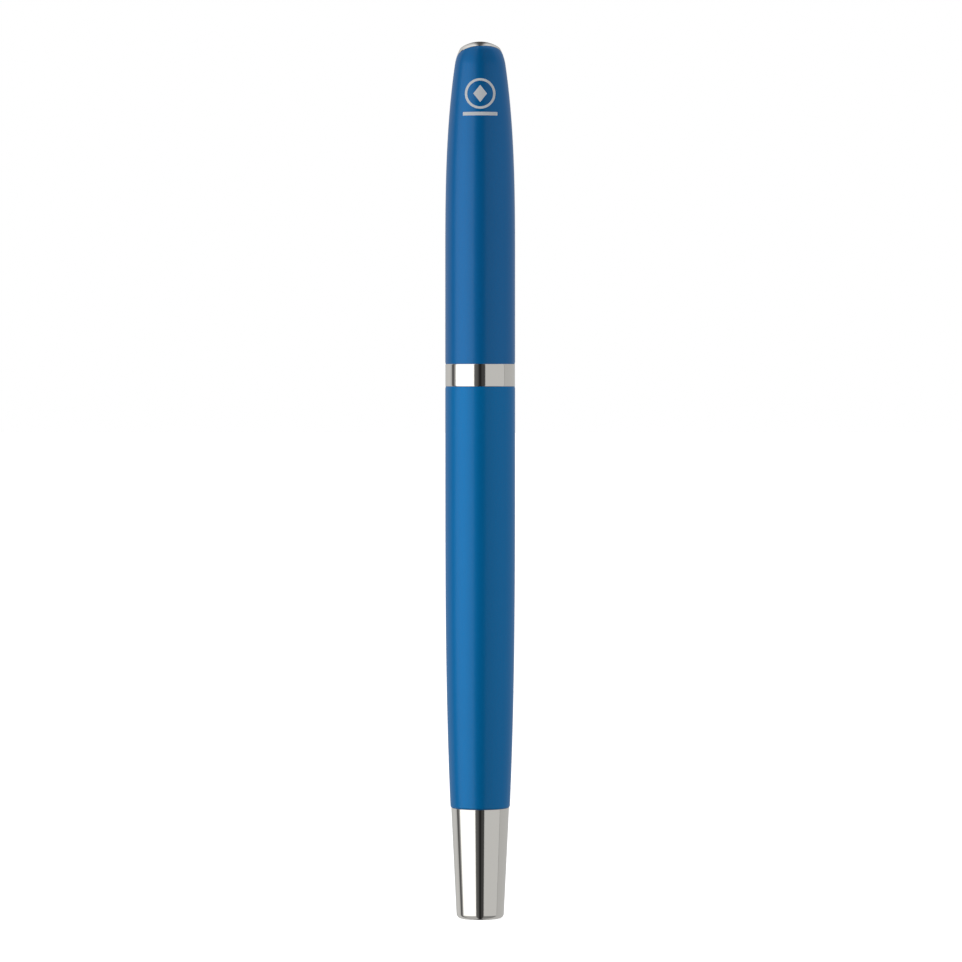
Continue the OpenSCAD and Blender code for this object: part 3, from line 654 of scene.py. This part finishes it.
def refill():
    wall, step = 0.35 * MM, 4 * MM
    tube_foot, tube_top = foot("refill_tube"), head("refill_tube")
    bore = REFILL_R - wall
    tube = turned("refill_shell", rounded([
        (REFILL_R, tube_foot, FINE), *plain(wall_points(tube_foot, tube_top, REFILL_R, step)),
        (REFILL_R, tube_top, FINE), (bore, tube_top, CRISP), (bore, tube_foot, CRISP)]),
        REFILL_CLEAR, **INNER)
    place(tube, "refill", "refill_plastic", "refill_tube")

    plug_foot, plug_top = foot("refill_plug"), head("refill_plug")
    vent = 0.4 * MM
    plug = turned("refill_end_plug", rounded([
        (vent, plug_foot, BROKEN), (REFILL_R, plug_foot, EASED), (REFILL_R, tube_foot, CRISP),
        (bore, tube_foot, 0), (bore, plug_top, BROKEN), (vent, plug_top, FINE)]),
        REFILL_TRIM, **INNER)
    place(plug, "refill", "refill_trim", "refill_plug")

    nose_foot, neck_top = foot("refill_nose"), head("refill_nose")
    shoulder_depth, neck_length = 1.2 * MM, 2.4 * MM
    shoulder, neck_foot = tube_top + shoulder_depth, neck_top - neck_length
    nose_r, neck_r, hole = 1.9 * MM, 1.55 * MM, 1.18 * MM
    seat_round = 0.02 * MM
    nose = turned("refill_nose_shell", rounded([
        (hole, nose_foot, 0), (bore, nose_foot, BROKEN), (bore, tube_top, seat_round),
        (REFILL_R, tube_top, FINE), (REFILL_R, shoulder, EASED), (nose_r, shoulder, SOFT),
        (nose_r, neck_foot, EASED), (neck_r, neck_foot, BROKEN), (neck_r, neck_top, EASED),
        (hole, neck_top, CRISP)]), REFILL_TRIM, **INNER)
    place(nose, "refill", "refill_trim", "refill_nose")

    tip_foot, tip_top = foot("writing_tip"), head("writing_tip")
    shank, cone_foot = 1.15 * MM, tip_top - 2.95 * MM
    lip, socket = 0.42 * MM, 0.37 * MM
    collar_r, collar_z = lip + 0.25 * MM, tip_top - 0.7 * MM
    socket_foot, socket_point = tip_top - 0.3 * MM, tip_top - 0.5 * MM
    tip = turned("tip_shell", rounded([
        (0, tip_foot, 0), (shank, tip_foot, BROKEN), (shank, cone_foot, TRIMMED),
        (collar_r, collar_z, SOFT), (lip, tip_top, seat_round),
        (socket, tip_top, 0), (socket, socket_foot, 0), (0, socket_point, 0)]),
        TIP_STEEL, **INNER)
    place(tip, "refill", "tip_steel", "writing_tip")

    ball_r = radius("tip_ball")
    ball_z = head("tip_ball") - ball_r
    steps = 24
    angles = [math.pi * i / steps for i in range(steps + 1)]
    arc = [(max(ball_r * math.sin(a), 0), ball_z - ball_r * math.cos(a)) for a in angles]
    ball = turned("ball", arc, BALL_CARBIDE, **{"Steps per Turn": 2 * steps})
    place(ball, "tip_ball", "tip_steel", "tip_ball")


# ---------------------------------------------------------------- writing section


def section_thread():
    thread_foot, thread_top = foot("section_thread"), head("section_thread")
    core = turned("nipple_core", rounded([
        (SECTION_BORE, thread_foot, BROKEN), (NIPPLE_R, thread_foot, EASED),
        (NIPPLE_R, thread_top, BROKEN), (SECTION_BORE, thread_top, BROKEN)]), BRASS, **INNER)
    place(core, "section", "thread_brass", "section_thread")

    turns, pitch, gap = 4, 1 * MM, 0.54 * MM
    first = SEAM - gap - turns * pitch
    depth, root_half, crest_half, sunk = 0.4 * MM, 0.34 * MM, 0.1 * MM, 0.1 * MM
    root, crest = NIPPLE_R - sunk, NIPPLE_R + depth
    ridge = turned("nipple_thread", rounded([
        (root, first - root_half, 0), (root, first + root_half, 0),
        (crest, first + crest_half, FINE), (crest, first - crest_half, FINE)], steps=2), BRASS, **{
            "Steps per Turn": INNER_SEGMENTS, "Turns": float(turns), "Pitch": pitch,
            "End Pitch": pitch, "Crease Angle": math.radians(50)})
    place(ridge, "section", "thread_brass")


def section_ring():
    collar_r = radius("section_ring")
    collar = turned("section_collar", rounded([
        (NIPPLE_R, SEAM, 0), (collar_r, SEAM, TRIMMED), (collar_r, COLLAR_TOP, TRIMMED),
        (NIPPLE_R, COLLAR_TOP, 0)]), CHROME, **INNER)
    place(collar, "section", "bright_metal", "section_ring")


def section_body():
    """The grip: a low ridge for the cap to snap over, a waist, and grooves for the fingers."""
    ridge_z, ridge_half, ridge_rise = COLLAR_TOP + 2.1 * MM, 0.3 * MM, 0.08 * MM
    rear_r, rear_z, rear_steps = radius("section_body") - ridge_rise, ridge_z + ridge_half, 6
    waist_r, waist_z = 3.95 * MM, SEAM + 20.76 * MM
    front_r, front_z = 3.35 * MM, NOSE_FOOT
    spigot_r, throat_r = 2.6 * MM, 2 * MM
    grooves, pitch, width, cut = 5, 2.2 * MM, 0.7 * MM, 0.14 * MM
    edge_round, floor_round = 0.08 * MM, 0.06 * MM

    def skin(z):
        if z < waist_z:
            return rear_r + (waist_r - rear_r) * (z - rear_z) / (waist_z - rear_z)
        return waist_r + (front_r - waist_r) * (z - waist_z) / (front_z - waist_z)

    corners = [(SECTION_BORE, COLLAR_TOP, 0), (rear_r, COLLAR_TOP, BROKEN),
               (rear_r, ridge_z - ridge_half, BROKEN), (rear_r + ridge_rise, ridge_z, BROKEN),
               (rear_r, rear_z, BROKEN)]
    first = front_z - (grooves + 1) * pitch
    heights = [rear_z + (first - rear_z) * i / rear_steps for i in range(1, rear_steps)]
    corners += [(skin(z), z, 0) for z in heights]
    for i in range(grooves):
        z = first + i * pitch
        corners += [(skin(z), z, edge_round), (skin(z) - cut, z, floor_round),
                    (skin(z + width) - cut, z + width, floor_round),
                    (skin(z + width), z + width, edge_round)]
    corners += [(front_r, front_z, BROKEN), (spigot_r, front_z, 0), (spigot_r, SECTION_TOP, BROKEN),
                (throat_r, SECTION_TOP, 0), (throat_r, waist_z, 0), (SECTION_BORE, waist_z, 0)]
    grip = turned("grip_section", rounded(corners, steps=3), GRIP_BLACK)
    place(grip, "section", "section_plastic", "section_body")


def nose_cone():
    base_r, tip_r, hole, steps = 3.3 * MM, 1.55 * MM, 1.25 * MM, 8
    seat_r, seat_top = 2.65 * MM, NOSE_FOOT + 3 * MM
    throat_r, throat_foot, throat_top = 1.7 * MM, NOSE_TOP - 4.4 * MM, NOSE_TOP - 4 * MM
    flank = [(base_r + (tip_r - base_r) * i / steps, NOSE_FOOT + (NOSE_TOP - NOSE_FOOT) * i / steps)
             for i in range(1, steps)]
    cone = turned("nose_cone_shell", rounded([
        (seat_r, NOSE_FOOT, 0), (base_r, NOSE_FOOT, TRIMMED), *plain(flank),
        (tip_r, NOSE_TOP, TRIMMED), (hole, NOSE_TOP, FINE), (hole, throat_top, 0),
        (throat_r, throat_foot, 0), (seat_r, seat_top, 0)]), CHROME, **INNER)
    place(cone, "section", "bright_metal", "nose_cone")


# ---------------------------------------------------------------- cap


def cap_radius(z):
    """Outside radius of the cap up to its shoulder."""
    along = max(0, (z - CAP_PLAIN) / (SHOULDER - CAP_PLAIN))
    return PEN_R - (PEN_R - SHOULDER_R) * along ** 3


def cap_outline(z_from):
    """Closely spaced points up the outside of the cap, round its shoulder and over its dome."""
    heights = [z_from + (SHOULDER - z_from) * i / FLANK_STEPS for i in range(FLANK_STEPS)]
    flank = [(cap_radius(z), z) for z in heights]
    slope = math.atan(3 * (PEN_R - SHOULDER_R) / (SHOULDER - CAP_PLAIN))
    cx = SHOULDER_R - SHOULDER_BEND * math.cos(slope)
    cz = SHOULDER - SHOULDER_BEND * math.sin(slope)
    edge = math.acos((DOME_EDGE_R - cx) / SHOULDER_BEND)
    turns = [slope + (edge - slope) * i / BEND_STEPS for i in range(BEND_STEPS + 1)]
    shoulder = [(cx + SHOULDER_BEND * math.cos(a), cz + SHOULDER_BEND * math.sin(a)) for a in turns]
    rise = TOP - shoulder[-1][1]
    dome_r = (DOME_EDGE_R ** 2 + rise ** 2) / (2 * rise)
    start = math.acos(DOME_EDGE_R / dome_r)
    turns = [start + (math.pi / 2 - start) * i / BEND_STEPS for i in range(1, BEND_STEPS)]
    dome = [(dome_r * math.cos(a), TOP - dome_r + dome_r * math.sin(a)) for a in turns]
    return soften(flank + shoulder + dome + [(0.0, TOP)], DOME_EDGE_ROUND)


def soften(points, reach):
    """Averages the outline over a short reach, which rounds the edge of the dome."""
    softened = []
    for r, z in points:
        if DOME_MIDDLE_R < r < SHOULDER_R and z > DOME_EDGE_LOW:
            near = [p for p in points if math.dist(p, (r, z)) < reach]
            r = sum(p[0] for p in near) / len(near)
            z = sum(p[1] for p in near) / len(near)
        softened.append((r, z))
    return softened


def resampled(points, count):
    """The same line with evenly spaced points."""
    lengths = [0.0]
    for a, b in zip(points, points[1:]):
        lengths.append(lengths[-1] + math.dist(a, b))
    line, k = [], 0
    for i in range(count):
        target = lengths[-1] * i / (count - 1)
        while k < len(points) - 2 and lengths[k + 1] < target:
            k += 1
        line.append(between(points[k], points[k + 1], (target - lengths[k]) / (lengths[k + 1] - lengths[k])))
    return line


def rim_lean(angle):
    """How far an angle round Z is towards the clip: 1 at the clip, -1 opposite."""
    return math.cos(angle - math.pi / 2 - CLIP_TURN)


def rim_height(r, angle):
    """Height of the slanted rim: lowest at the clip."""
    return RIM - RIM_RISE * r * rim_lean(angle)


def rim_inward(angle):
    """Direction along the rim towards Z, as (r, z)."""
    return Vector((-1, RIM_RISE * rim_lean(angle))).normalized()


def split_at_rim(outline, angle, shift=0.0):
    """The outline below and above the rim, both with the point where it crosses the rim."""
    over = [z - rim_height(r, angle) - shift for r, z in outline]
    i = next(k for k, lift in enumerate(over[1:]) if lift >= 0)
    meet = between(outline[i], outline[i + 1], over[i] / (over[i] - over[i + 1]))
    return outline[:i + 1] + [meet], [meet] + outline[i + 1:]


def corner_bend(start, corner, end):
    """A round from start to end, drawn towards the corner between them."""
    return [tuple(start.lerp(corner, t).lerp(corner.lerp(end, t), t)) for t in (0, 0.25, 0.5, 0.75, 1)]


def columns(name, column_at, finish):
    """A closed shell from a loop of points at each angle round Z."""
    bm = bmesh.new()
    rings = []
    for i in range(CAP_SEGMENTS):
        angle = 2 * math.pi * i / CAP_SEGMENTS
        rings.append([bm.verts.new((r * math.cos(angle), r * math.sin(angle), z))
                      for r, z in column_at(angle)])
    count = len(rings[0])
    for a, b in zip(rings, rings[1:] + rings[:1]):
        for k in range(count):
            n = (k + 1) % count
            bm.faces.new((a[k], b[k], b[n], a[n]))
    bmesh.ops.remove_doubles(bm, verts=bm.verts, dist=WELD)
    clean(bm)
    return built(name, bm, finish)


def cap_tube():
    """The cap's shell up to the rim, with its cavity and the hole that the plug of the dome fills."""
    outline = cap_outline(BAND_TOP + LEAD)
    cavity_top = RIM - CAP_END_WALL
    hole = PLUG_R + 0.03 * MM
    heights = [cavity_top + (BAND_TOP - cavity_top) * i / CAVITY_STEPS for i in range(CAVITY_STEPS + 1)]
    inner = [(cap_radius(z) - WALL, z) for z in heights]
    fixed_top = SHOULDER - 4 * MM
    kept = 40

    def column_at(angle):
        below = split_at_rim(outline, angle)[0]
        meet = Vector(below[-1])
        tangent = (meet - Vector(below[-2])).normalized()
        fixed = [p for p in below if p[1] < fixed_top]
        upper = resampled([p for p in below if p[1] >= fixed_top], kept + 4)
        upper = [p for p in upper[:-1] if math.dist(p, below[-1]) > RIM_ROUND][:kept]
        bend = corner_bend(meet - tangent * RIM_ROUND, meet, meet + rim_inward(angle) * RIM_ROUND)
        return ([(PEN_R - LEAD_DEPTH, BAND_TOP)] + fixed + resampled(upper, kept) + bend
                + [(hole, rim_height(hole, angle)), (hole, cavity_top)] + inner)

    tube = columns("cap_shell", column_at, CAP_BLUE)
    place(tube, "cap", "cap_anodised", "cap_tube")


def cap_top():
    """The dome above the rim, with the plug below it and the hole for its screw."""
    outline = cap_outline(BAND_TOP + LEAD)
    hole_top = PLUG_FOOT + 4.2 * MM
    kept = 48

    def column_at(angle):
        above = split_at_rim(outline, angle, RIM_SEAM)[1]
        meet = Vector(above[0])
        on = (Vector(above[1]) - meet).normalized()
        bend = corner_bend(meet + rim_inward(angle) * RIM_ROUND, meet, meet + on * RIM_ROUND)
        upper = [p for p in above if math.dist(p, meet) > 1.5 * RIM_ROUND]
        return ([(0, hole_top), (SCREW_HOLE_R, hole_top), (SCREW_HOLE_R, PLUG_FOOT), (PLUG_R, PLUG_FOOT),
                 (PLUG_R, rim_height(PLUG_R, angle))] + bend + resampled(upper, kept))

    dome = columns("cap_dome", column_at, CHROME)
    place(dome, "cap", "bright_metal", "cap_top")


def cap_ring():
    bore, lip, shelf = PEN_R - WALL, 0.15 * MM, SEAM + 1.36 * MM
    margin, step = 0.4 * MM, 0.5 * MM
    band = turned("centre_band", rounded([
        (PEN_R - LEAD_DEPTH, SEAM, BAND_ROUND), (BAND_R, SEAM + BAND_EDGE, BAND_ROUND),
        *plain(wall_points(SEAM + margin, BAND_TOP - margin, BAND_R, step)),
        (BAND_R, BAND_TOP - BAND_EDGE, BAND_ROUND), (PEN_R - LEAD_DEPTH, BAND_TOP, BAND_ROUND),
        (bore, BAND_TOP, 0), (bore, shelf, 0), (bore - lip, shelf, 0), (bore - lip, SEAM, BROKEN)]),
        CHROME)
    place(band, "cap", "bright_metal", "cap_ring")


def inner_cap():
    """The plastic sleeve that seals over the writing section, narrower round the nose."""
    mouth, top = foot("inner_cap"), head("inner_cap")
    wall, end_wall = 0.4 * MM, 1.4 * MM
    wide_r, narrow_r, narrow_bore = radius("inner_cap"), 4 * MM, 3.6 * MM
    wide_top, narrow_foot = SEAM + 23.16 * MM, NOSE_FOOT + 0.1 * MM
    bend, floor_round = 0.5 * MM, 0.3 * MM
    sleeve = turned("inner_sleeve", rounded([
        (wide_r, mouth, BROKEN), (wide_r, wide_top + wall, bend), (narrow_r, narrow_foot + wall, bend),
        (narrow_r, top, SOFT), (SCREW_HOLE_R, top, 0), (SCREW_HOLE_R, top - end_wall, 0),
        (narrow_bore, top - end_wall, floor_round), (narrow_bore, narrow_foot, bend),
        (wide_r - wall, wide_top, bend), (wide_r - wall, mouth, BROKEN)]), SLEEVE_BLACK, **INNER)
    place(sleeve, "cap", "inner_plastic", "inner_cap")


def cap_screw():
    head_foot, shank_top = foot("cap_screw"), head("cap_screw")
    head_top, head_r, shank_r = head_foot + 1.4 * MM, 2.2 * MM, 1.2 * MM
    socket_r, socket_top = 1.0 * MM, head_foot + 0.8 * MM
    head_round, edge_round = 0.4 * MM, 0.08 * MM
    screw = turned("cap_screw_turned", rounded([
        (0, socket_top, 0), (socket_r, socket_top, BROKEN), (socket_r, head_foot, edge_round),
        (head_r, head_foot, head_round), (head_r, head_top, edge_round), (shank_r, head_top, BROKEN),
        (shank_r, shank_top, SOFT), (0, shank_top, 0)]), SCREW_BLACK, **{"Steps per Turn": 64})
    place(screw, "cap", "screw_steel", "cap_screw")


def on_cap(x, z, lift):
    """A point on the front of the cap, lifted off its surface."""
    r = cap_radius(z) + lift
    return (x, -math.sqrt(r * r - x * x), z)


def mark_pad(bm, rows, closed=False):
    """A thin pad of print from rows of (x, z): its face, its underside and its edges."""
    proud, sunk = 0.012 * MM, -0.02 * MM
    face = [[bm.verts.new(on_cap(x, z, proud)) for x, z in row] for row in rows]
    under = [[bm.verts.new(on_cap(x, z, sunk)) for x, z in row] for row in rows]
    layers = face, under
    rims = [[layer[0] for layer in layers], [layer[-1] for layer in layers]]
    if not closed:
        rims += [[[row[end] for row in layer] for layer in layers] for end in (0, -1)]
    strips = [pair for layer in layers for pair in zip(layer, layer[1:])]
    for a, b in strips + rims:
        for k in range(len(a) - 1):
            bm.faces.new((a[k], a[k + 1], b[k + 1], b[k]))


def printed_mark():
    """A plain ring round a lozenge with a bar below it, printed on the front of the cap."""
    centre = TOP - 8.4 * MM
    ring_r, line, ring_steps = 2.4 * MM, 0.38 * MM, 72
    lozenge_half, lozenge_stretch = 1.08 * MM, 1.25
    bar_z, bar_half_w, bar_half_h = TOP - 11.55 * MM, 2.7 * MM, 0.275 * MM
    turns = [2 * math.pi * i / ring_steps for i in range(ring_steps + 1)]
    across = [i / 8 - 1 for i in range(17)]

    bm = bmesh.new()
    mark_pad(bm, [[(r * math.sin(a), centre + r * math.cos(a)) for a in turns]
                  for r in (ring_r - line, ring_r)], closed=True)
    mark_pad(bm, [[((u + v) / 2 * lozenge_half, centre + (v - u) / 2 * lozenge_half * lozenge_stretch)
                   for u in across] for v in across])
    mark_pad(bm, [[(bar_half_w * u, bar_z + bar_half_h * v) for u in across] for v in (-1, 1)])
    bmesh.ops.remove_doubles(bm, verts=bm.verts, dist=WELD)
    clean(bm)
    place(built("printed_mark", bm, PRINT_WHITE), "cap", "cap_anodised")


def clip_line(bend_centre, bend_r, tongue_z, lift, end_z):
    """One face of the strip as (distance from Z, z): tongue, bend, slope and the stretch along the cap."""
    bend_steps, slope_steps, end_steps = 10, 10, 6
    turns = [math.radians(90 - 90 / bend_steps * i) for i in range(bend_steps + 1)]
    line = [(CLIP_TONGUE, tongue_z)]
    line += [(bend_centre[0] + bend_r * math.cos(a), bend_centre[1] + bend_r * math.sin(a)) for a in turns]
    slope_from = (CLIP_BEND_REACH + lift, bend_centre[1])
    slope_to = (PEN_R + CLIP_GAP + lift, end_z + CLIP_PARALLEL)
    line += [between(slope_from, slope_to, i / slope_steps) for i in range(1, slope_steps + 1)]
    line += [between(slope_to, (slope_to[0], end_z), i / end_steps) for i in range(1, end_steps + 1)]
    return line


def clip():
    """A bent strip with rounded edges and a bead near its free end."""
    tongue_top = TOP - CLIP_DROP
    tongue_foot = tongue_top - CLIP_T
    bend_centre = (CLIP_BEND_REACH - CLIP_BEND, tongue_foot - CLIP_BEND)
    end_z = foot("clip")
    inside = clip_line(bend_centre, CLIP_BEND, tongue_foot, 0, end_z)
    outside = clip_line(bend_centre, CLIP_BEND + CLIP_T, tongue_top, CLIP_T, end_z)

    def half_width(z):
        part = min(1, max(0, (z - end_z) / (bend_centre[1] - end_z)))
        return CLIP_END_HALF + (CLIP_TOP_HALF - CLIP_END_HALF) * part

    bm = bmesh.new()
    rings = []
    for (u, z), (v, w) in zip(inside, outside):
        ring = [(-half_width(z), u, z), (half_width(z), u, z), (half_width(w), v, w), (-half_width(w), v, w)]
        rings.append([bm.verts.new(p) for p in ring])
    for a, b in zip(rings, rings[1:]):
        for k in range(4):
            bm.faces.new((a[k], a[(k + 1) % 4], b[(k + 1) % 4], b[k]))
    bm.faces.new(rings[0])
    bm.faces.new(rings[-1])
    bmesh.ops.recalc_face_normals(bm, faces=bm.faces)
    long_edges = [e for e in bm.edges if e.calc_face_angle(0) > CLIP_EDGE_ANGLE]
    bmesh.ops.bevel(bm, geom=long_edges, offset=CLIP_EDGE_ROUND, segments=3, profile=0.5, affect="EDGES")
    bead = bmesh.ops.create_uvsphere(bm, u_segments=40, v_segments=24, radius=BEAD_R)
    for vert in bead["verts"]:
        vert.co += Vector((0, PEN_R + BEAD_GAP + BEAD_R, end_z + BEAD_RISE))
    bmesh.ops.rotate(bm, verts=bm.verts, cent=(0, 0, 0), matrix=Matrix.Rotation(CLIP_TURN, 3, "Z"))
    place(built("clip_strip", bm, CLIP_CHROME), "clip", "bright_metal", "clip")


# ---------------------------------------------------------------- studio


def camera():
    """Level with the centre band and tipped a little down, from well in front."""
    distance, aside, eye, aim = 707 * MM, 0.13 * MM, 85.55 * MM, 68.95 * MM
    framing = 151.51 * MM
    data = bpy.data.cameras.new("Camera")
    data.sensor_width = 36
    data.lens = data.sensor_width * math.hypot(distance, eye - aim) / framing
    data.clip_start, data.clip_end = 0.01, 20
    made = bpy.data.objects.new("Camera", data)
    made.location = (aside, -distance, eye)
    made.rotation_euler = (math.pi / 2 - math.atan((eye - aim) / distance), 0, 0)
    bpy.context.scene.collection.objects.link(made)
    bpy.context.scene.camera = made


def softbox(name, bearing, radiance):
    """A soft box close to the pen: bearing is in degrees from the front, to the right."""
    data = bpy.data.lights.new(name, "AREA")
    data.shape = "RECTANGLE"
    data.size, data.size_y = BOX_WIDTH, BOX_HEIGHT
    data.energy = radiance * math.pi * BOX_WIDTH * BOX_HEIGHT
    made = bpy.data.objects.new(name, data)
    turn = math.radians(bearing)
    made.location = (BOX_DISTANCE * math.sin(turn), -BOX_DISTANCE * math.cos(turn), BOX_CENTRE_Z)
    made.rotation_euler = (math.pi / 2, 0, turn)
    made.visible_camera = False
    bpy.context.scene.collection.objects.link(made)


def world():
    """A studio seen by its bearing from the front: pale to the left, greyer to the right, with a dark gap
    over the pen from front to back. Straight into the camera it is plain white."""
    made = bpy.data.worlds.new("Studio")
    bpy.context.scene.world = made
    made.use_nodes = True
    tree = made.node_tree
    tree.nodes.clear()
    ray = add(tree, "ShaderNodeLightPath").outputs["Is Camera Ray"]
    way = add(tree, "ShaderNodeSeparateXYZ", {0: add(tree, "ShaderNodeTexCoord").outputs["Generated"]}).outputs
    bearing = maths(tree, "ARCTAN2", way["X"], maths(tree, "MULTIPLY", way["Y"], -1.0))
    round_the_pen = maths(tree, "ADD", maths(tree, "DIVIDE", bearing, 2 * math.pi), 0.5)
    ramp = add(tree, "ShaderNodeValToRGB", {"Fac": round_the_pen})
    stops = ramp.color_ramp.elements
    while len(stops) > 1:
        stops.remove(stops[-1])
    for i, (degrees, level) in enumerate(BEARING_LEVELS):
        stop = stops.new(degrees / 360 + 0.5) if i else stops[0]
        stop.color = (level, level, level, 1)
    height = maths(tree, "MAXIMUM", way["Z"], 0.0)
    lift = maths(tree, "MULTIPLY", maths(tree, "POWER", height, 3.0), OVERHEAD_LIFT)
    overhead = maths(tree, "ADD", 1.0, lift)
    beside = add(tree, "ShaderNodeMapRange", {
        "Value": maths(tree, "ABSOLUTE", way["X"]), "From Min": 0.02, "From Max": 0.15, "To Min": 0.12},
        interpolation_type="SMOOTHSTEP").outputs[0]
    strength = maths(tree, "MULTIPLY", overhead, beside)
    room = add(tree, "ShaderNodeBackground", {"Color": ramp.outputs["Color"], "Strength": strength})
    white = add(tree, "ShaderNodeBackground", {"Color": (1, 1, 1, 1), "Strength": 1.0})
    mixed = add(tree, "ShaderNodeMixShader", {0: ray, 1: room.outputs[0], 2: white.outputs[0]})
    tree.links.new(mixed.outputs[0], add(tree, "ShaderNodeOutputWorld").inputs["Surface"])


def floor():
    """A pale floor that glows just enough to stay white. The pen neither mirrors it nor is lit by it."""
    half = 6.0
    mesh = bpy.data.meshes.new("floor")
    mesh.from_pydata([(-half, -half, 0), (half, -half, 0), (half, half, 0), (-half, half, 0)],
                     [], [(0, 1, 2, 3)])
    made, tree, shader, place = material(
        "Pale floor", Roughness=0.9, Specular_IOR_Level=0.1,
        Emission_Color=(1, 1, 1, 1), Emission_Strength=FLOOR_GLOW)
    patches = group_node(tree, HANDLING, {
        "Vector": place, "Patch size mm": 300.0, "Mean": 0.5, "Spread": 0.1})
    tint(tree, shader, patches["Mask"], (0.90, 0.90, 0.90), (0.92, 0.92, 0.92))
    mesh.materials.append(made)
    plane = show("floor", mesh)
    plane.location.z = cad_box[0][2]
    plane.visible_glossy = False
    plane.visible_diffuse = False
    plane.visible_shadow = False


barrel_tube()
tail_cone()
finish_node("thread_bush", BRASS)
refill_spring()
refill()
finish_node("ink_reservoir", INK_FIBRE)
finish_node("feed_wick", INK_FIBRE)
section_thread()
section_ring()
section_body()
nose_cone()
cap_tube()
cap_top()
cap_ring()
inner_cap()
cap_screw()
printed_mark()
clip()

camera()
world()
softbox("Left softbox", bearing=-54, radiance=0.84)
softbox("Right softbox", bearing=51, radiance=0.36)
floor()
bpy.context.scene.view_settings.view_transform = "Standard"
